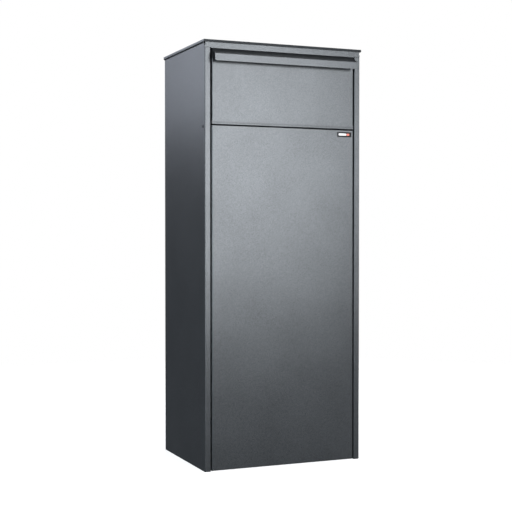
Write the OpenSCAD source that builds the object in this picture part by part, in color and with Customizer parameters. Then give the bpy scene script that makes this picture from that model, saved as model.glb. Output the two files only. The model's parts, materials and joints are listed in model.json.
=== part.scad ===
// Free-standing parcel drop box: a folded steel cabinet with a tilting hopper flap above a
// side-hinged collection door. The origin is at the centre of the footprint, on the floor.
// +Z is up and the front faces -Y. All sizes are in millimetres.

/* [Cabinet] */
// Width over the two side panels
body_w = 450; // [430:5:500]
// Depth from the front flanges to the back of the back panel
body_d = 330; // [320:1:380]
// Height from the floor to the top of the lid
body_h = 1120; // [1060:5:1200]
// Thickness of the folded sheet steel
sheet = 1.5; // [1.3:0.1:1.7]
// Width of the flange on each side of the front opening
post_w = 16; // [15.5:0.5:18]
// Outer radius of the folded corners
bend_r = 2; // [2:0.25:3]

/* [Lid] */
// How far the lid stands out past the front and the sides
lid_overhang = 3.5; // [3.3:0.1:4]
// Height of the skirt folded down around the lid
lid_skirt = 6.5; // [5:0.5:9]

/* [Hopper flap] */
// Height of the axis that the flap tilts about
flap_axis_z = 908; // [880:1:920]
// Distance from the top of the lid to the bottom of the header rail
header_drop = 21.5; // [20:0.5:24]
// Gap between a flap edge and the front flange beside it
flap_gap = 4; // [3.5:0.5:5]
// Slope of the chute plate when the flap is closed, in degrees
chute_slope = 50; // [48:1:50]
// Length of the chute plate along its slope
chute_len = 225; // [222:1:226]

/* [Handle] */
// How far the handle stands out from the front of the flap
handle_reach = 23; // [20:1:28]
// Height of the vertical grip strip
grip_h = 19; // [16:1:22]
// Height that the sloping top of the handle falls over its reach
handle_fall = 14; // [11:1:16]

/* [Door] */
// Gap between a door edge and the front flange beside it
door_gap = 3; // [3:0.25:3.5]
// Depth of the folded edges of the door
door_depth = 18; // [17:0.5:18]
// Distance from the flap axis down to the top of the door
door_drop = 7.5; // [7.5:0.5:10]
// Height of the upper hinge pin above the floor
hinge_top_z = 760; // [700:10:800]
// Height of the lower hinge pin above the floor
hinge_low_z = 140; // [100:10:200]

/* [Lock] */
// Height of the cam lock in the right side panel
lock_z = 500; // [400:10:600]
// Distance of the lock axis behind the front
lock_depth = 48; // [46:1:50]

/* [Fixings] */
// Spacing of the floor anchor holes across the cabinet
floor_hole_x = 300; // [200:10:340]
// Spacing of the floor anchor holes from front to back
floor_hole_y = 180; // [120:10:200]
// Diameter of the floor anchor holes
floor_hole_d = 9; // [7:0.5:11]
// Spacing of the wall fixing holes across the back
wall_hole_x = 300; // [200:10:340]
// Spacing of the wall fixing holes up the back
wall_hole_z = 600; // [400:10:650]
// Diameter of the wall fixing holes
wall_hole_d = 8.5; // [6:0.5:10]

/* [Hidden] */
$fn = 64;

// Colours of the finishes
paint = [0.36, 0.38, 0.40];
zinc = [0.72, 0.73, 0.74];
rubber = [0.10, 0.10, 0.11];
nylon = [0.15, 0.15, 0.16];
brass = [0.76, 0.63, 0.35];
badge_black = [0.05, 0.05, 0.06];
badge_white = [0.90, 0.90, 0.90];
badge_red = [0.85, 0.42, 0.36];

// Small allowances
eps = 0.01;
cut = 1;
rest_gap = 0.3;
run_fit = 0.05;

// Cabinet
half_w = body_w / 2;
inner_w = half_w - sheet;
front_y = -(body_d + handle_reach) / 2 + handle_reach;
jamb_x = half_w - post_w;
post_depth = 20;
side_d = body_d - sheet;
top_z = body_h - sheet;
rear_flange_w = 20;
top_flange_w = 20;
top_flange_y = [24, body_d - 8];
header_z = body_h - header_drop;
post_top_z = header_z + 1;
header_seam = 0.5;
notch_w = 1.5;
notch_d = 3.5;
notch_h = 8;
lid_foot_z = body_h - lid_skirt;
lid_edge = 0.5;
lid_side_z = lid_foot_z - 1.5;
lid_side_y = 4;
lid_turn_h = 2.5;
lid_clear = 0.1;
stud_r = 2.5;
stud_x = half_w - 11;
stud_y = [60, body_d - 57];
stud_len = 11;
nut_h = 4;
nut_r = 4.6;

// Header rail and closed stop of the flap
header_depth = 18.5;
stop_lip_h = 13;
stop_lip_x = 195;
flap_return = 15;
buffer_r = 5;
buffer_x = [-150, 0, 150];

// Parts behind the door
frame_y = 22;
rail_h = 24;
rail_z = flap_axis_z - 60;
rail_depth = 18;
base_flange_h = 22;
stop_w = 16;
lock_bay = 45;
seal_w = 8;
door_buffer_x = [-150, 150];

// Flap and hopper
flap_x = jamb_x - flap_gap;
axis_y = 5;
foot_drop = 6;
crease_h = 2.4;
crease_d = 0.35;
flap_top_z = header_z - 1.5;
roll_r = 5.2;
roll_bore_r = roll_r - sheet;
rod_r = roll_bore_r - 0.1;
journal_r = 2.5;
journal_x = inner_w - 2.5;
cheek_r = flap_top_z - sheet - 1 - flap_axis_z;
cheek_x = flap_x - sheet;
flap_flange = 12;
chute_root_z = flap_axis_z + 18;
chute_flange_h = 15;
chute_x = cheek_x - sheet;
lip_h = 15;
chute_side_y = [12, chute_len - 27];
chute_rivet_y = [40, 105, 170];
fold_r = 2;
grip_corner_r = 5;
handle_leg_h = 25;
handle_rivet_x = [-180, -90, 0, 90, 180];

// Open stops: each tongue lies just above the chute plate when the flap is fully open
open_plate_z = flap_axis_z + (chute_root_z - flap_axis_z) * cos(chute_slope)
    + (sheet - axis_y) * sin(chute_slope);
pad_h = 1.3;
tongue_z = open_plate_z + 0.4 + pad_h;
tongue_y = [196, 206];
tongue_x = 198;

// Guard over the back edge of the open hopper
guard_y = 232;
guard_front_z = flap_axis_z + 22;
guard_back_z = flap_axis_z + 67;
guard_flange_h = 20;
guard_x = 195;
guard_rivet_x = [-160, -80, 0, 80, 160];

// Bearing blocks and the rivet that holds each one
block_y = [sheet + 0.1, 19.5];
block_z = [flap_axis_z - 20, flap_axis_z + 8];
block_rivet_y = 14;
block_rivet_z = flap_axis_z - 11;
block_head_r = [4.4, 3.2];
block_head_h = 1.4;

// Door
door_x = jamb_x - door_gap;
door_top_z = flap_axis_z - door_drop;
door_low_z = 1.5;
pin_x = -(door_x - 6);
pin_y = 6;
pin_r = 3;
pin_h = 24;
arm_h = 5;
sleeve_r = pin_y - sheet;
sleeve_h = 25;
badge_w = 42.5;
badge_h = 13;
badge_t = 0.8;
badge_x = 178;
badge_z = door_top_z - 12.5;
badge_print_h = 5.8;
badge_strip_x = [-17.5, 6.2];
badge_field_x = [7, 15];

// Lock
lock_body_r = 9.5;
bezel_r = 12;
bezel_t = 2.3;
plug_r = 6;
plug_end_x = inner_w - 20.5;
cam_t = 3;
cam_w = 14;
cam_len = lock_depth - frame_y - 0.5;
keeper_x = 194;
keeper_y = lock_depth + 10;
keeper_z = [lock_z + 12, lock_z + 30];

// Rivets through the back panel
back_rivet_z = [60, 310, 560, 810, 1040];
flat_head_r = 3.5;
flat_head_h = 0.8;
rivet_r = 2;

// ---- Helpers: every Y value below is a depth behind the front plane ----

// A box between two corners
module plate(x, y, z) {
    translate([x[0], front_y + y[0], z[0]])
        cube([x[1] - x[0], y[1] - y[0], z[1] - z[0]]);
}

// Round bars along each axis
module bar_x(x, y, z, r) {
    translate([x[0], front_y + y, z])
        rotate([0, 90, 0])
            cylinder(r = r, h = x[1] - x[0]);
}

module bar_y(x, y, z, r) {
    translate([x, front_y + y[0], z])
        rotate([-90, 0, 0])
            cylinder(r = r, h = y[1] - y[0]);
}

module bar_z(x, y, z, r) {
    translate([x, front_y + y, z[0]])
        cylinder(r = r, h = z[1] - z[0]);
}

// A section drawn in (depth, height) and drawn out along X
module section_x(x) {
    translate([x[0], front_y, 0])
        rotate([90, 0, 90])
            linear_extrude(x[1] - x[0])
                children();
}

// A section drawn in (x, height) and drawn out along Y
module section_y(y) {
    translate([0, front_y + y[1], 0])
        rotate([90, 0, 0])
            linear_extrude(y[1] - y[0])
                children();
}

// A plan drawn in (x, depth) and drawn out along Z
module plan_z(z) {
    translate([0, front_y, z[0]])
        linear_extrude(z[1] - z[0])
            children();
}

// A rectangle whose two front corners are rounded
module round_front(x, y, r) {
    translate([x[0], y[0] + r])
        square([x[1] - x[0], y[1] - y[0] - r]);
    translate([x[0] + r, y[0]])
        square([x[1] - x[0] - 2 * r, r + eps]);
    for (corner = [x[0] + r, x[1] - r])
        translate([corner, y[0] + r])
            circle(r = r);
}

// A section whose two front corners, at the top and the bottom, are rounded
module round_ends(y, z, r) {
    translate([y[0] + r, z[0]])
        square([y[1] - y[0] - r, z[1] - z[0]]);
    translate([y[0], z[0] + r])
        square([r + eps, z[1] - z[0] - 2 * r]);
    for (corner = [z[0] + r, z[1] - r])
        translate([y[0] + r, corner])
            circle(r = r);
}

// A rectangle with four rounded corners, centred on the origin
module round_rect(w, h, r) {
    square([w - 2 * r, h], center = true);
    square([w, h - 2 * r], center = true);
    for (x = [-1, 1], z = [-1, 1])
        translate([x * (w / 2 - r), z * (h / 2 - r)])
            circle(r = r);
}

// Everything that turns with the chute: local Y runs down the plate, local Z stands on it
module on_chute() {
    translate([0, front_y + sheet, chute_root_z])
        rotate([-chute_slope, 0, 0])
            children();
}

// A flush rivet through the back panel, or its hole when grown by a clearance
module flush_rivet(x, z, length, grow = 0) {
    bar_y(x, [body_d - flat_head_h - grow, body_d + grow], z, flat_head_r + grow);
    bar_y(x, [body_d - length, body_d - eps], z, rivet_r + grow);
}

// ---- Cabinet ----

// One folded side panel: side = 1 is the right one, side = -1 the left one
module side_panel(side) {
    mirror([side < 0 ? 1 : 0, 0, 0])
        difference() {
            union() {
                difference() {
                    plan_z([0, top_z])
                        round_front([jamb_x, half_w], [0, post_depth], bend_r);
                    plan_z([-cut, top_z + cut])
                        round_front([jamb_x + sheet, inner_w], [sheet, post_depth + cut],
                                    bend_r - sheet);
                    plate([jamb_x - cut, inner_w], [-cut, post_depth + cut],
                          [post_top_z, body_h]);
                }
                plate([inner_w, half_w], [post_depth - eps, side_d], [0, top_z]);
                plate([half_w - rear_flange_w, half_w], [side_d - sheet, side_d], [0, top_z]);
                plate([half_w - top_flange_w, half_w - eps], top_flange_y, [top_z - sheet, top_z]);
            }
            plate([jamb_x - cut, half_w + cut], [-cut, sheet], [post_top_z, body_h]);
            plate([jamb_x - cut, half_w + cut], [0, sheet + notch_d],
                  [lid_foot_z - notch_h, lid_foot_z]);
            bar_x([jamb_x - cut, jamb_x + sheet + cut], axis_y, flap_axis_z, journal_r + 0.75);
            bar_x([inner_w - cut, half_w + cut], block_rivet_y, block_rivet_z, rivet_r);
            for (y = stud_y)
                bar_z(stud_x, y, [top_z - sheet - cut, top_z + cut], stud_r + 0.5);
            for (z = back_rivet_z)
                bar_y(half_w - rear_flange_w / 2, [side_d - sheet - cut, body_d], z,
                      rivet_r + run_fit);
            if (side > 0)
                bar_x([inner_w - cut, half_w + cut], lock_depth, lock_z, lock_body_r + run_fit);
        }
}

module left_side_panel() {
    color(paint) side_panel(-1);
}

module right_side_panel() {
    color(paint) side_panel(1);
}

module back_panel() {
    color(paint)
        difference() {
            plate([-half_w, half_w], [side_d, body_d], [0, top_z]);
            for (x = [-1, 1], z = [-1, 1])
                bar_y(x * wall_hole_x / 2, [side_d - cut, body_d + cut],
                      body_h / 2 + z * wall_hole_z / 2, wall_hole_d / 2);
            for (side = [-1, 1], z = back_rivet_z)
                flush_rivet(side * (half_w - rear_flange_w / 2), z, sheet + cut, run_fit);
            for (x = guard_rivet_x)
                flush_rivet(x, guard_back_z + guard_flange_h / 2, sheet + cut, run_fit);
        }
}

// The floor, with an upstand on every side
module base_pan() {
    color(paint)
        difference() {
            union() {
                plate([-inner_w, inner_w], [frame_y, side_d - sheet], [0, sheet]);
                plate([-inner_w, inner_w], [frame_y, frame_y + sheet], [0, base_flange_h]);
                plate([-inner_w + rear_flange_w, inner_w - rear_flange_w],
                      [side_d - 2 * sheet, side_d - sheet], [0, base_flange_h]);
                for (side = [-1, 1])
                    plate([side * (inner_w - sheet / 2) - sheet / 2,
                           side * (inner_w - sheet / 2) + sheet / 2],
                          [frame_y, side_d - sheet], [0, base_flange_h]);
            }
            for (x = [-1, 1], y = [-1, 1])
                bar_z(x * floor_hole_x / 2, body_d / 2 + y * floor_hole_y / 2,
                      [-cut, sheet + cut], floor_hole_d / 2);
        }
}

// The space within the lid's outside faces, or within its inside faces when drawn in by inset.
// The front skirt leans back, and the feet of the side skirts turn in.
module lid_block(inset, low_z) {
    lid_x = half_w + lid_overhang - inset;
    foot_x = half_w + lid_clear + sheet - inset;
    front = inset - lid_overhang;
    back = body_d + inset;
    under_z = lid_side_z - cut;
    intersection() {
        plan_z([low_z, body_h - inset])
            round_front([-lid_x, lid_x], [front, back], bend_r - inset);
        section_x([-lid_x, lid_x])
            polygon([
                [front, body_h],
                [front, body_h - lid_edge],
                [inset - sheet, lid_foot_z],
                [inset - sheet, under_z],
                [back, under_z],
                [back, body_h]
            ]);
        section_y([front, back])
            polygon([
                [-lid_x, body_h],
                [-lid_x, lid_side_z + lid_turn_h],
                [-foot_x, lid_side_z],
                [-foot_x, under_z],
                [foot_x, under_z],
                [foot_x, lid_side_z],
                [lid_x, lid_side_z + lid_turn_h],
                [lid_x, body_h]
            ]);
    }
}

// The lid, with a stud welded inside near each corner; the side skirts reach a little lower
// than the front one
module roof_lid() {
    color(paint)
        union() {
            difference() {
                lid_block(0, lid_side_z);
                lid_block(sheet, lid_side_z - cut);
                plate([-body_w, body_w], [-lid_overhang - cut, lid_side_y],
                      [lid_side_z - cut, lid_foot_z]);
            }
            for (side = [-1, 1], y = stud_y)
                bar_z(side * stud_x, y, [top_z - stud_len, top_z + eps], stud_r);
        }
}

module lid_nuts() {
    color(zinc)
        for (side = [-1, 1], y = stud_y)
            difference() {
                translate([side * stud_x, front_y + y, top_z - sheet - nut_h])
                    cylinder(r = nut_r, h = nut_h, $fn = 6);
                bar_z(side * stud_x, y, [top_z - sheet - nut_h - cut, top_z], stud_r + run_fit);
            }
}

// The strip above the flap, with the lip that the closed flap rests against; its front is
// notched at both ends below the lid
module header_rail() {
    rail_x = jamb_x - 0.5;
    color(paint)
        union() {
            plate([-half_w, half_w], [0, sheet], [post_top_z + header_seam, lid_foot_z - notch_h]);
            plate([-half_w + notch_w, half_w - notch_w], [0, sheet],
                  [lid_foot_z - notch_h - eps, top_z]);
            plate([-rail_x, rail_x], [0, header_depth], [header_z, header_z + sheet]);
            plate([-rail_x, rail_x], [0, sheet], [header_z, top_z]);
            plate([-stop_lip_x, stop_lip_x], [header_depth - sheet, header_depth],
                  [header_z - stop_lip_h, header_z + sheet]);
            plate([-inner_w, inner_w], [0, post_depth], [top_z - sheet, top_z]);
        }
}

// The rail behind the top of the door, folded to a channel with a flange at each end
module cross_rail() {
    color(paint)
        union() {
            plate([-inner_w, inner_w], [frame_y, frame_y + sheet], [rail_z, rail_z + rail_h]);
            plate([-inner_w, inner_w], [frame_y, frame_y + rail_depth], [rail_z, rail_z + sheet]);
            for (side = [-1, 1])
                plate([side * (inner_w - sheet / 2) - sheet / 2,
                       side * (inner_w - sheet / 2) + sheet / 2],
                      [frame_y, frame_y + rail_depth], [rail_z, rail_z + rail_h]);
        }
}

// ---- What the door closes against ----

// A strip welded to the back of the right front flange
module door_stop(z) {
    color(paint)
        plate([jamb_x + sheet - stop_w, jamb_x + sheet], [post_depth, post_depth + sheet], z);
}

// A foam strip stuck to the front of a door stop
module door_seal(z) {
    color(rubber)
        plate([door_x - sheet - seal_w, door_x - sheet / 2 - 1],
              [door_depth + rest_gap, post_depth], z);
}

module door_stop_upper() {
    door_stop([lock_z + lock_bay, rail_z - 10]);
}

module door_stop_lower() {
    door_stop([base_flange_h + 8, lock_z - lock_bay]);
}

module door_seal_upper() {
    door_seal([lock_z + lock_bay + 4, rail_z - 14]);
}

module door_seal_lower() {
    door_seal([base_flange_h + 12, lock_z - lock_bay - 4]);
}

module door_buffers() {
    color(rubber)
        for (x = door_buffer_x, z = [rail_z + rail_h / 2, base_flange_h / 2 + 1])
            bar_y(x, [sheet + rest_gap, frame_y], z, buffer_r);
}

// ---- Bearings of the flap ----

module bearing_block(side) {
    color(nylon)
        difference() {
            mirror([side < 0 ? 1 : 0, 0, 0])
                plan_z(block_z)
                    round_front([jamb_x + sheet, inner_w], block_y, bend_r - sheet + 0.3);
            bar_x([-half_w, half_w], axis_y, flap_axis_z, journal_r + run_fit);
            bar_x([-half_w, half_w], block_rivet_y, block_rivet_z, rivet_r);
        }
}

module bearing_block_left() {
    bearing_block(-1);
}

module bearing_block_right() {
    bearing_block(1);
}

module bearing_block_rivets() {
    color(zinc)
        for (side = [0, 1])
            mirror([side, 0, 0]) {
                bar_x([jamb_x + sheet + 2, half_w + eps], block_rivet_y, block_rivet_z, rivet_r);
                translate([half_w, front_y + block_rivet_y, block_rivet_z])
                    rotate([0, 90, 0])
                        cylinder(r1 = block_head_r[0], r2 = block_head_r[1], h = block_head_h);
            }
}

// ---- Door hinges on the left front flange ----

// An arm that comes out behind the door edge and forward to the pin
module hinge_bracket(z) {
    color(paint)
        difference() {
            union() {
                plate([-jamb_x, pin_x + 3], [14, post_depth], [z - arm_h, z]);
                plate([pin_x - 2, pin_x + 3], [pin_y, post_depth], [z - arm_h, z]);
                bar_z(pin_x, pin_y, [z - arm_h, z], 4.2);
                plate([-jamb_x, -jamb_x + 2.4], [14, post_depth], [z - 30, z]);
            }
            bar_z(pin_x, pin_y, [z - arm_h - cut, z + cut], pin_r);
        }
}

module hinge_bracket_upper() {
    hinge_bracket(hinge_top_z);
}

module hinge_bracket_lower() {
    hinge_bracket(hinge_low_z);
}

module door_hinge_pins() {
    color(zinc)
        for (z = [hinge_top_z, hinge_low_z])
            bar_z(pin_x, pin_y, [z - arm_h, z + pin_h], pin_r);
}

// ---- Inside the top of the cabinet ----

// A sloping plate that keeps hands out behind the open hopper
module anti_fishing_guard() {
    color(paint)
        difference() {
            section_x([-guard_x, guard_x])
                polygon([
                    [side_d, guard_back_z + guard_flange_h],
                    [side_d - sheet, guard_back_z + guard_flange_h],
                    [side_d - sheet, guard_back_z + sheet],
                    [guard_y, guard_front_z + sheet],
                    [guard_y, guard_front_z],
                    [side_d, guard_back_z]
                ]);
            for (x = guard_rivet_x)
                bar_y(x, [side_d - sheet - cut, body_d], guard_back_z + guard_flange_h / 2,
                      rivet_r + run_fit);
        }
}

module guard_rivets() {
    color(zinc)
        for (x = guard_rivet_x)
            flush_rivet(x, guard_back_z + guard_flange_h / 2, 2 * sheet + 2);
}

module header_buffers() {
    color(rubber)
        for (x = buffer_x)
            bar_y(x, [flap_return + rest_gap, header_depth - sheet],
                  header_z - stop_lip_h / 2, buffer_r);
}

// A bracket on a side panel whose tongue stops the chute plate
module open_stop(side) {
    color(paint)
        mirror([side < 0 ? 1 : 0, 0, 0])
            union() {
                plate([inner_w - sheet, inner_w], [tongue_y[0] - 6, tongue_y[1] + 6],
                      [tongue_z, tongue_z + 26]);
                plate([tongue_x, inner_w], tongue_y, [tongue_z, tongue_z + sheet]);
            }
}

module open_stop_left() {
    open_stop(-1);
}

module open_stop_right() {
    open_stop(1);
}

module open_stop_pads() {
    color(rubber)
        for (side = [0, 1])
            mirror([side, 0, 0])
                plate([tongue_x, tongue_x + 6], [tongue_y[0] + 1, tongue_y[1] - 1],
                      [tongue_z - pad_h, tongue_z]);
}

module back_rivets() {
    color(zinc)
        for (side = [-1, 1], z = back_rivet_z)
            flush_rivet(side * (half_w - rear_flange_w / 2), z, 2 * sheet + 2);
}

// ---- Lock in the right side panel ----

module lock_housing() {
    color(zinc)
        difference() {
            union() {
                bar_x([inner_w - 18.5, half_w + eps], lock_depth, lock_z, lock_body_r);
                bar_x([half_w, half_w + bezel_t], lock_depth, lock_z, bezel_r);
            }
            bar_x([inner_w - 20, half_w + bezel_t + cut], lock_depth, lock_z, plug_r + run_fit);
        }
}

module lock_nut() {
    color(zinc)
        difference() {
            translate([inner_w - 4, front_y + lock_depth, lock_z])
                rotate([0, 90, 0])
                    cylinder(r = 13.5, h = 4, $fn = 6);
            bar_x([inner_w - 5, half_w], lock_depth, lock_z, lock_body_r + run_fit);
        }
}

// The turning core, with its key slot and a stub for the cam
module lock_plug() {
    color(brass)
        difference() {
            union() {
                bar_x([plug_end_x + 1, half_w + bezel_t - 0.2], lock_depth, lock_z, plug_r);
                bar_x([plug_end_x - cam_t, plug_end_x + 1 + eps], lock_depth, lock_z, 3.5);
            }
            plate([half_w - 4, half_w + bezel_t + cut], [lock_depth - 4, lock_depth + 4],
                  [lock_z - 0.8, lock_z + 0.8]);
            bar_x([plug_end_x - cam_t - cut, plug_end_x + 6], lock_depth, lock_z, 1.5);
        }
}

// The cam points forward when unlocked, and up when locked
module lock_cam() {
    color(zinc)
        difference() {
            union() {
                bar_x([plug_end_x - cam_t, plug_end_x], lock_depth, lock_z, cam_w / 2);
                plate([plug_end_x - cam_t, plug_end_x], [lock_depth - cam_len, lock_depth],
                      [lock_z - cam_w / 2, lock_z + cam_w / 2]);
            }
            bar_x([plug_end_x - cam_t - cut, plug_end_x + cut], lock_depth, lock_z, 3.5);
        }
}

module cam_screw() {
    color(zinc)
        union() {
            bar_x([plug_end_x - cam_t - 2.2, plug_end_x - cam_t], lock_depth, lock_z, 5);
            bar_x([plug_end_x - cam_t - eps, plug_end_x + 4], lock_depth, lock_z, 1.5);
        }
}

// ---- Door ----

// A tray folded from one sheet, with clearance cut around both hinge arms
module door_skin() {
    inner_x = door_x - sheet;
    color(paint)
        difference() {
            intersection() {
                plan_z([door_low_z, door_top_z])
                    round_front([-door_x, door_x], [0, door_depth], 3);
                section_x([-door_x, door_x])
                    round_ends([0, door_depth], [door_low_z, door_top_z], fold_r);
            }
            plan_z([door_low_z + sheet, door_top_z - sheet])
                round_front([-inner_x, inner_x], [sheet, door_depth + cut], 3 - sheet);
            for (z = [hinge_top_z, hinge_low_z])
                plate([-door_x - cut, -inner_x + cut], [sheet, door_depth + cut],
                      [z - arm_h - 2, z + 2]);
        }
}

// A vertical hat section welded behind the middle of the door
module door_stiffener() {
    z = [door_low_z + 20, door_top_z - 28];
    color(paint)
        union() {
            plate([-25, 25], [12.5, 12.5 + sheet], z);
            for (side = [-1, 1]) {
                plate([side * 24.25 - 0.75, side * 24.25 + 0.75], [sheet, 12.5 + sheet], z);
                plate([side * 33 - 8, side * 33 + 8], [sheet, 2 * sheet], z);
            }
        }
}

module door_hinge_sleeves() {
    color(paint)
        for (z = [hinge_top_z + rest_gap, hinge_low_z + rest_gap])
            difference() {
                union() {
                    bar_z(pin_x, pin_y, [z, z + sleeve_h], sleeve_r);
                    plate([pin_x - 3, pin_x + 6], [sheet, sheet + 2], [z, z + sleeve_h]);
                }
                bar_z(pin_x, pin_y, [z - cut, z + sleeve_h + cut], pin_r + run_fit);
            }
}

// An arm on the door whose bent end sits behind the locked cam
module lock_keeper() {
    color(paint)
        union() {
            plate([keeper_x - 16, keeper_x], [sheet, 2 * sheet], [lock_z + 5, lock_z + 37]);
            plate([keeper_x - 2, keeper_x], [sheet, keeper_y + 2], keeper_z);
            plate([keeper_x - 2, plug_end_x], [keeper_y, keeper_y + 2], keeper_z);
        }
}

module badge_plate() {
    color(badge_black)
        translate([badge_x, front_y, badge_z])
            rotate([90, 0, 0])
                linear_extrude(badge_t)
                    round_rect(badge_w, badge_h, 2);
}

// A field printed on the badge plate
module badge_print(x, r) {
    translate([badge_x + (x[0] + x[1]) / 2, front_y - badge_t, badge_z])
        rotate([90, 0, 0])
            linear_extrude(0.2)
                round_rect(x[1] - x[0], badge_print_h, r);
}

module badge_strip() {
    color(badge_white) badge_print(badge_strip_x, 2.5);
}

module badge_field() {
    color(badge_red) badge_print(badge_field_x, 1.5);
}

// ---- Flap and hopper, which turn together ----

// The front sheet: its top folds back, its sides fold in and its foot rolls round the rod,
// pressed flat at the front below a shallow crease
module flap_skin() {
    color(paint)
        difference() {
            union() {
                intersection() {
                    union() {
                        plate([-flap_x, flap_x], [0, sheet], [flap_axis_z, flap_top_z]);
                        plate([-flap_x, flap_x], [0, flap_return],
                              [flap_top_z - sheet, flap_top_z]);
                        for (side = [-1, 1])
                            plate([side * (flap_x - sheet / 2) - sheet / 2,
                                   side * (flap_x - sheet / 2) + sheet / 2],
                                  [0, flap_flange], [flap_axis_z + 8, flap_top_z]);
                    }
                    plan_z([flap_axis_z, flap_top_z])
                        round_front([-flap_x, flap_x], [0, flap_return], fold_r);
                }
                bar_x([-flap_x, flap_x], axis_y, flap_axis_z, roll_r);
                section_x([-flap_x, flap_x])
                    round_ends([0, axis_y], [flap_axis_z - foot_drop, flap_axis_z + foot_drop],
                               fold_r);
            }
            section_x([-half_w, half_w])
                polygon([
                    [crease_d, flap_axis_z],
                    [-crease_d, flap_axis_z - crease_h],
                    [-crease_d, flap_axis_z + crease_h]
                ]);
            bar_x([-half_w, half_w], axis_y, flap_axis_z, roll_bore_r);
            for (x = handle_rivet_x)
                bar_y(x, [-cut, sheet + cut], flap_top_z - handle_leg_h / 2 - 4, rivet_r);
        }
}

// A full-width grip: a sloping top, a vertical strip and a leg against the flap
module flap_handle() {
    grip_top = flap_top_z - handle_fall;
    grip_foot = grip_top - grip_h;
    leg_foot = flap_top_z - handle_leg_h;
    slope = atan(handle_fall / handle_reach);
    depth = sheet / cos(slope);
    fold_y = -handle_reach + fold_r;
    fold_z = grip_top + fold_r * tan(slope) - fold_r / cos(slope);
    color(paint)
        difference() {
            section_x([-flap_x, flap_x])
                difference() {
                    polygon([
                        [0, flap_top_z],
                        [-handle_reach, grip_top],
                        [-handle_reach, grip_foot],
                        [-handle_reach + sheet, grip_foot],
                        [-handle_reach + sheet, grip_top + sheet * tan(slope) - depth],
                        [-sheet, flap_top_z - sheet * tan(slope) - depth],
                        [-sheet, leg_foot],
                        [0, leg_foot]
                    ]);
                    difference() {
                        polygon([
                            [fold_y, fold_z],
                            [-handle_reach - cut, fold_z],
                            [-handle_reach - cut, grip_top + cut],
                            [fold_y - (fold_r + cut) * sin(slope),
                             fold_z + (fold_r + cut) * cos(slope)]
                        ]);
                        translate([fold_y, fold_z])
                            circle(r = fold_r);
                    }
                }
            for (side = [0, 1])
                mirror([side, 0, 0])
                    difference() {
                        plate([flap_x - grip_corner_r, flap_x + cut],
                              [-handle_reach - cut, -handle_reach + sheet + 0.2],
                              [grip_foot - cut, grip_foot + grip_corner_r]);
                        bar_y(flap_x - grip_corner_r, [-handle_reach - 2 * cut, 0],
                              grip_foot + grip_corner_r, grip_corner_r);
                    }
            for (x = handle_rivet_x)
                bar_y(x, [-sheet - cut, cut], flap_top_z - handle_leg_h / 2 - 4, rivet_r);
        }
}

module handle_rivets() {
    z = flap_top_z - handle_leg_h / 2 - 4;
    color(zinc)
        for (x = handle_rivet_x)
            union() {
                bar_y(x, [-sheet - 1, -sheet], z, 3.5);
                bar_y(x, [-sheet - eps, sheet + 1.5], z, rivet_r);
            }
}

// A sector of sheet that closes one side of the hopper
module hopper_cheek(side) {
    color(paint)
        mirror([side < 0 ? 1 : 0, 0, 0])
            difference() {
                section_x([cheek_x - sheet, cheek_x])
                    intersection() {
                        translate([axis_y, flap_axis_z])
                            circle(r = cheek_r, $fn = 180);
                        translate([sheet, flap_axis_z - cheek_r])
                            square([cheek_r + axis_y, 2 * cheek_r]);
                        translate([sheet, chute_root_z])
                            rotate([0, 0, -chute_slope])
                                translate([-cheek_r, -sheet])
                                    square([3 * cheek_r, 2 * cheek_r]);
                    }
                on_chute()
                    for (y = chute_rivet_y)
                        translate([cheek_x - sheet - cut, y, chute_flange_h / 2])
                            rotate([0, 90, 0])
                                cylinder(r = rivet_r, h = sheet + 2 * cut);
            }
}

module hopper_cheek_left() {
    hopper_cheek(-1);
}

module hopper_cheek_right() {
    hopper_cheek(1);
}

// The plate that holds a parcel when the flap is open and drops it when the flap closes
module chute_plate() {
    color(paint)
        union() {
            plate([-chute_x + sheet, chute_x - sheet], [sheet, 2 * sheet],
                  [chute_root_z - 2, chute_root_z + chute_flange_h]);
            on_chute()
                difference() {
                    union() {
                        translate([-chute_x, 1.9, -sheet])
                            cube([2 * chute_x, chute_len - 1.9, sheet]);
                        translate([-chute_x, chute_len - sheet, -sheet])
                            cube([2 * chute_x, sheet, lip_h + sheet]);
                        for (x = [-chute_x, chute_x - sheet])
                            translate([x, chute_side_y[0], -sheet])
                                cube([sheet, chute_side_y[1] - chute_side_y[0],
                                      chute_flange_h + sheet]);
                    }
                    for (y = chute_rivet_y)
                        translate([-half_w, y, chute_flange_h / 2])
                            rotate([0, 90, 0])
                                cylinder(r = rivet_r, h = body_w);
                }
        }
}

module hopper_rivets() {
    color(zinc)
        for (side = [0, 1], y = chute_rivet_y)
            mirror([side, 0, 0])
                on_chute()
                    translate([chute_x - sheet - 1, y, chute_flange_h / 2])
                        rotate([0, 90, 0])
                            union() {
                                cylinder(r = 3.2, h = 1);
                                cylinder(r = rivet_r, h = 2 * sheet + 2);
                            }
}

// The rod in the rolled foot of the flap, with a journal at each end
module hinge_rod() {
    color(zinc)
        union() {
            bar_x([-flap_x + 1, flap_x - 1], axis_y, flap_axis_z, rod_r);
            bar_x([-journal_x, journal_x], axis_y, flap_axis_z, journal_r);
        }
}

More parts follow.
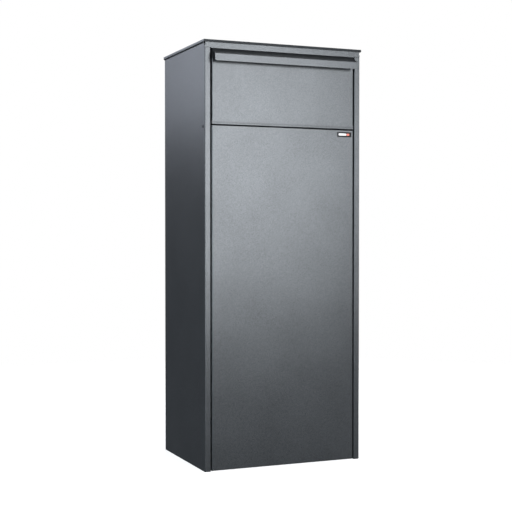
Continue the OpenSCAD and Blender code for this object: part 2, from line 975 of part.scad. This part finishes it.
left_side_panel();
right_side_panel();
back_panel();
base_pan();
roof_lid();
lid_nuts();
header_rail();
cross_rail();
door_stop_upper();
door_stop_lower();
door_seal_upper();
door_seal_lower();
door_buffers();
bearing_block_left();
bearing_block_right();
bearing_block_rivets();
hinge_bracket_upper();
hinge_bracket_lower();
door_hinge_pins();
anti_fishing_guard();
guard_rivets();
header_buffers();
open_stop_left();
open_stop_right();
open_stop_pads();
lock_housing();
lock_nut();
back_rivets();
door_skin();
door_stiffener();
door_hinge_sleeves();
lock_keeper();
badge_plate();
badge_strip();
badge_field();
flap_skin();
flap_handle();
handle_rivets();
hopper_cheek_left();
hopper_cheek_right();
chute_plate();
hopper_rivets();
hinge_rod();
lock_plug();
lock_cam();
cam_screw();
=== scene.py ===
import json
import math

import bpy
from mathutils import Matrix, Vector

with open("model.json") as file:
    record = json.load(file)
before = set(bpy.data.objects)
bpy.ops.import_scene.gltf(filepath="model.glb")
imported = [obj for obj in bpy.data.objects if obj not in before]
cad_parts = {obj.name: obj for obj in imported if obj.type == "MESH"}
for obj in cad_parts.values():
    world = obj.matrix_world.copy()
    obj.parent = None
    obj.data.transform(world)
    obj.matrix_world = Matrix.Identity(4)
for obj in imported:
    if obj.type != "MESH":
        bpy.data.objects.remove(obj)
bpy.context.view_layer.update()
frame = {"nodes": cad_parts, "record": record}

# ---- Sizes, in metres ----
MM = 0.001
EDGE_ROUND = 0.45 * MM
LID_ROUND = 0.3 * MM
TRIM_ROUND = 0.15 * MM
PRINT_ROUND = 0.05 * MM
SHARP_ANGLE = math.radians(35)
FLAT_ANGLE = math.radians(0.3)
WELD_REACH = 0.002 * MM

# ---- Camera ----
CAMERA_PLACE = Vector((-1.2154, -2.8524, 0.6236))
CAMERA_YAW = math.radians(22.78)
CAMERA_PITCH = math.radians(-1.24)
CAMERA_LENS = 78.17
SENSOR = 36.0


# ---- Node helpers ----

def new_material(name):
    """An empty node material with a Principled shader, and the two nodes it ends in."""
    material = bpy.data.materials.new(name)
    material.use_nodes = True
    nodes = material.node_tree.nodes
    return material, nodes, material.node_tree.links, nodes["Principled BSDF"]


def noise(nodes, links, place, scale, detail=2.0, roughness=0.5):
    """A noise texture in object space; scale is in features per metre."""
    texture = nodes.new("ShaderNodeTexNoise")
    texture.inputs["Scale"].default_value = scale
    texture.inputs["Detail"].default_value = detail
    texture.inputs["Roughness"].default_value = roughness
    links.new(place.outputs["Object"], texture.inputs["Vector"])
    return texture


def ramp(nodes, links, source, stops):
    """A colour ramp over source; each stop is (position, grey or colour)."""
    node = nodes.new("ShaderNodeValToRGB")
    elements = node.color_ramp.elements
    while len(elements) < len(stops):
        elements.new(0.5)
    for element, (position, value) in zip(elements, stops):
        element.position = position
        rgb = value if isinstance(value, tuple) else (value, value, value)
        element.color = (*rgb, 1.0)
    links.new(source, node.inputs["Fac"])
    return node


def bump(nodes, links, height, strength, distance, below=None):
    """A bump node over height, stacked on an earlier bump when one is given."""
    node = nodes.new("ShaderNodeBump")
    node.inputs["Strength"].default_value = strength
    node.inputs["Distance"].default_value = distance
    links.new(height, node.inputs["Height"])
    if below is not None:
        links.new(below.outputs["Normal"], node.inputs["Normal"])
    return node


# ---- Materials ----

def powder_coat(name, dark, light, roughness=0.30, metallic=0.75):
    """Fine-texture metallic powder coat: sparkle grain, slow mottling and orange peel."""
    material, nodes, links, shader = new_material(name)
    place = nodes.new("ShaderNodeTexCoord")
    grain = noise(nodes, links, place, 900.0, detail=3.0, roughness=0.65)
    fleck = noise(nodes, links, place, 420.0, detail=1.0)
    mottle = noise(nodes, links, place, 7.0, detail=3.0)
    peel = noise(nodes, links, place, 260.0, detail=1.0)

    tone = nodes.new("ShaderNodeMix")
    tone.data_type = "FLOAT"
    tone.inputs["Factor"].default_value = 0.35
    links.new(fleck.outputs["Fac"], tone.inputs["A"])
    links.new(mottle.outputs["Fac"], tone.inputs["B"])
    colour = ramp(nodes, links, tone.outputs["Result"], [(0.30, dark), (0.70, light)])
    links.new(colour.outputs["Color"], shader.inputs["Base Color"])

    gloss = ramp(nodes, links, grain.outputs["Fac"],
                 [(0.30, roughness - 0.05), (0.70, roughness + 0.07)])
    links.new(gloss.outputs["Color"], shader.inputs["Roughness"])
    shader.inputs["Metallic"].default_value = metallic
    rough_grain = bump(nodes, links, grain.outputs["Fac"], 0.22, 0.25 * MM)
    finish = bump(nodes, links, peel.outputs["Fac"], 0.10, 0.4 * MM, rough_grain)
    links.new(finish.outputs["Normal"], shader.inputs["Normal"])
    return material


def zinc_plate(name, shade):
    """Zinc-plated steel with a faint cloudy passivation."""
    material, nodes, links, shader = new_material(name)
    place = nodes.new("ShaderNodeTexCoord")
    cloud = noise(nodes, links, place, 120.0, detail=4.0)
    scratch = noise(nodes, links, place, 1500.0, detail=2.0)
    bright = tuple(min(1.0, value * 1.15) for value in shade)
    colour = ramp(nodes, links, cloud.outputs["Fac"], [(0.35, shade), (0.65, bright)])
    links.new(colour.outputs["Color"], shader.inputs["Base Color"])
    gloss = ramp(nodes, links, cloud.outputs["Fac"], [(0.3, 0.28), (0.7, 0.42)])
    links.new(gloss.outputs["Color"], shader.inputs["Roughness"])
    shader.inputs["Metallic"].default_value = 1.0
    finish = bump(nodes, links, scratch.outputs["Fac"], 0.15, 0.05 * MM)
    links.new(finish.outputs["Normal"], shader.inputs["Normal"])
    return material


def turned_metal(name, shade):
    """Turned metal with a fine grain."""
    material, nodes, links, shader = new_material(name)
    place = nodes.new("ShaderNodeTexCoord")
    grain = noise(nodes, links, place, 2200.0, detail=2.0)
    deep = tuple(value * 0.8 for value in shade)
    colour = ramp(nodes, links, grain.outputs["Fac"], [(0.3, deep), (0.7, shade)])
    links.new(colour.outputs["Color"], shader.inputs["Base Color"])
    shader.inputs["Metallic"].default_value = 1.0
    shader.inputs["Roughness"].default_value = 0.3
    finish = bump(nodes, links, grain.outputs["Fac"], 0.2, 0.03 * MM)
    links.new(finish.outputs["Normal"], shader.inputs["Normal"])
    return material


def soft_solid(name, shade, roughness, scale, depth, specular=0.5):
    """Rubber, print or moulded plastic: an even colour with a fine moulded grain."""
    material, nodes, links, shader = new_material(name)
    place = nodes.new("ShaderNodeTexCoord")
    grain = noise(nodes, links, place, scale, detail=3.0)
    light = tuple(value * 1.35 for value in shade)
    colour = ramp(nodes, links, grain.outputs["Fac"], [(0.3, shade), (0.75, light)])
    links.new(colour.outputs["Color"], shader.inputs["Base Color"])
    gloss = ramp(nodes, links, grain.outputs["Fac"], [(0.3, roughness - 0.06), (0.7, roughness)])
    links.new(gloss.outputs["Color"], shader.inputs["Roughness"])
    shader.inputs["Specular IOR Level"].default_value = specular
    finish = bump(nodes, links, grain.outputs["Fac"], 0.3, depth)
    links.new(finish.outputs["Normal"], shader.inputs["Normal"])
    return material


def make_materials():
    """One material for each of the record's slots."""
    return {
        "powder_coat": powder_coat("powder_coat", (0.049, 0.053, 0.057), (0.078, 0.084, 0.090)),
        "zinc_steel": zinc_plate("zinc_steel", (0.52, 0.53, 0.54)),
        "dark_steel": zinc_plate("dark_steel", (0.022, 0.023, 0.026)),
        "rubber": soft_solid("rubber", (0.018, 0.018, 0.019), 0.75, 700.0, 0.15 * MM),
        "nylon": soft_solid("nylon", (0.022, 0.022, 0.024), 0.5, 500.0, 0.08 * MM),
        "brass": turned_metal("brass", (0.72, 0.55, 0.27)),
        "badge_black": soft_solid("badge_black", (0.008, 0.008, 0.009), 0.62, 900.0, 0.01 * MM,
                                  specular=0.25),
        "badge_white": soft_solid("badge_white", (0.70, 0.70, 0.70), 0.5, 900.0, 0.01 * MM),
        "badge_red": soft_solid("badge_red", (0.62, 0.16, 0.11), 0.5, 900.0, 0.01 * MM),
    }


# ---- Finishing the CAD nodes ----

def round_edges(piece, width, segments=3):
    """Rounds the sharp edges of a CAD node, after joining vertices and merging flat triangles."""
    weld = piece.modifiers.new("weld", "WELD")
    weld.merge_threshold = WELD_REACH
    merge = piece.modifiers.new("flat_merge", "DECIMATE")
    merge.decimate_type = "DISSOLVE"
    merge.angle_limit = FLAT_ANGLE
    bevel = piece.modifiers.new("edge_round", "BEVEL")
    bevel.width = width
    bevel.segments = segments
    bevel.limit_method = "ANGLE"
    bevel.angle_limit = SHARP_ANGLE
    bevel.use_clamp_overlap = True
    for polygon in piece.data.polygons:
        polygon.use_smooth = True
    shading = piece.modifiers.new("flat_faces", "WEIGHTED_NORMAL")
    shading.mode = "FACE_AREA"
    shading.weight = 100


def edge_width(node, slot):
    """How far the edges of a node are rounded."""
    if node in ("badge_strip", "badge_field", "header_buffers", "door_buffers"):
        return PRINT_ROUND
    if node == "roof_lid":
        return LID_ROUND
    if slot == "powder_coat":
        return EDGE_ROUND
    return TRIM_ROUND


def finish_nodes(materials):
    """Gives every CAD node its slot's material and rounded edges."""
    slots = {part["node"]: part["material_slot"] for part in frame["record"]["subparts"]}
    for node, piece in frame["nodes"].items():
        piece.data.materials.clear()
        piece.data.materials.append(materials[slots[node]])
        round_edges(piece, edge_width(node, slots[node]))


# ---- Stage ----

def make_floor():
    """A pale floor that fades into the white backdrop; reflections ignore it."""
    mesh = bpy.data.meshes.new("floor")
    reach = 2.6
    corners = [(-reach, -reach, 0), (reach, -reach, 0), (reach, reach, 0), (-reach, reach, 0)]
    mesh.from_pydata(corners, [], [(0, 1, 2, 3)])
    floor = bpy.data.objects.new("floor", mesh)
    bpy.context.scene.collection.objects.link(floor)
    material, nodes, links, shader = new_material("floor")
    place = nodes.new("ShaderNodeTexCoord")
    drift = noise(nodes, links, place, 1.5)
    colour = ramp(nodes, links, drift.outputs["Fac"], [(0.3, 0.80), (0.7, 0.83)])
    links.new(colour.outputs["Color"], shader.inputs["Base Color"])
    shader.inputs["Roughness"].default_value = 0.9
    shader.inputs["Emission Color"].default_value = (1.0, 1.0, 1.0, 1.0)
    shader.inputs["Emission Strength"].default_value = 0.70
    fade_out(nodes, links, place, shader, 0.9, 2.4)
    floor.data.materials.append(material)
    floor.visible_glossy = False


def fade_out(nodes, links, place, shader, near, far):
    """Makes a surface solid within near of the world's origin, and clear beyond far."""
    distance = nodes.new("ShaderNodeVectorMath")
    distance.operation = "LENGTH"
    links.new(place.outputs["Object"], distance.inputs[0])
    fade = nodes.new("ShaderNodeMapRange")
    fade.inputs["From Min"].default_value = near
    fade.inputs["From Max"].default_value = far
    links.new(distance.outputs["Value"], fade.inputs["Value"])
    clear = nodes.new("ShaderNodeBsdfTransparent")
    mix = nodes.new("ShaderNodeMixShader")
    links.new(fade.outputs["Result"], mix.inputs["Fac"])
    links.new(shader.outputs["BSDF"], mix.inputs[1])
    links.new(clear.outputs["BSDF"], mix.inputs[2])
    links.new(mix.outputs["Shader"], nodes["Material Output"].inputs["Surface"])


def make_world():
    """White to the camera; as light, brightest halfway up, dark overhead and below."""
    world = bpy.data.worlds.new("studio")
    bpy.context.scene.world = world
    world.use_nodes = True
    nodes = world.node_tree.nodes
    links = world.node_tree.links
    nodes.clear()
    place = nodes.new("ShaderNodeTexCoord")
    split = nodes.new("ShaderNodeSeparateXYZ")
    links.new(place.outputs["Generated"], split.inputs["Vector"])
    spread = nodes.new("ShaderNodeMapRange")
    spread.inputs["From Min"].default_value = -1.0
    spread.inputs["From Max"].default_value = 1.0
    links.new(split.outputs["Z"], spread.inputs["Value"])
    sky = ramp(nodes, links, spread.outputs["Result"], [
        (0.0, (0.055, 0.061, 0.068)),
        (0.47, (0.09, 0.10, 0.115)),
        (0.60, (0.30, 0.31, 0.34)),
        (0.74, (0.46, 0.48, 0.52)),
        (0.88, 0.12),
    ])
    light = nodes.new("ShaderNodeBackground")
    links.new(sky.outputs["Color"], light.inputs["Color"])
    seen = nodes.new("ShaderNodeBackground")
    seen.inputs["Color"].default_value = (1.0, 1.0, 1.0, 1.0)
    path = nodes.new("ShaderNodeLightPath")
    mix = nodes.new("ShaderNodeMixShader")
    links.new(path.outputs["Is Camera Ray"], mix.inputs["Fac"])
    links.new(light.outputs["Background"], mix.inputs[1])
    links.new(seen.outputs["Background"], mix.inputs[2])
    output = nodes.new("ShaderNodeOutputWorld")
    links.new(mix.outputs["Shader"], output.inputs["Surface"])


def area_light(name, place, target, size, power, colour=(1.0, 1.0, 1.0)):
    """A rectangular soft box aimed at target."""
    data = bpy.data.lights.new(name, "AREA")
    data.shape = "RECTANGLE"
    data.size, data.size_y = size
    data.energy = power
    data.color = colour
    light = bpy.data.objects.new(name, data)
    light.location = place
    light.rotation_euler = (Vector(target) - Vector(place)).to_track_quat("-Z", "Y").to_euler()
    light.visible_camera = False
    bpy.context.scene.collection.objects.link(light)
    return light


def make_lights():
    """Soft boxes that the faces mirror, small fills for the front, and a strip for the bends."""
    front = (0.0, -0.15, 0.75)
    side = (-0.225, 0.0, 0.75)
    area_light("front_box", (1.05, -3.85, 1.17), front, (1.75, 1.85), 93)
    area_light("front_fill", (2.1, -3.85, 1.15), front, (0.7, 0.45), 4.5)
    area_light("header_fill", (1.05, -3.85, 2.1), front, (1.2, 0.4), 4.5)
    area_light("side_box", (-2.22, 3.6, 1.98), side, (1.4, 1.4), 18, (0.84, 0.89, 1.0))
    area_light("top_box", (0.3, -0.2, 3.4), (0.0, 0.0, 1.1), (2.4, 0.35), 15)
    area_light("left_box", (-2.9, -2.2, 0.9), side, (2.4, 1.8), 106, (0.87, 0.95, 1.0))
    area_light("right_strip", (3.0, 1.0, 0.9), front, (0.35, 2.2), 14)
    area_light("back_box", (2.6, 2.7, 1.25), (0.1, 0.1, 0.65), (1.8, 1.9), 70)


def make_camera():
    """The camera, at the photograph's viewing angle."""
    data = bpy.data.cameras.new("camera")
    data.lens = CAMERA_LENS
    data.sensor_width = SENSOR
    data.clip_end = 200.0
    camera = bpy.data.objects.new("camera", data)
    camera.location = CAMERA_PLACE
    camera.rotation_euler = (math.radians(90) + CAMERA_PITCH, 0.0, -CAMERA_YAW)
    bpy.context.scene.collection.objects.link(camera)
    bpy.context.scene.camera = camera


make_camera()
finish_nodes(make_materials())
make_floor()
make_world()
make_lights()
bpy.context.scene.view_settings.view_transform = "Standard"
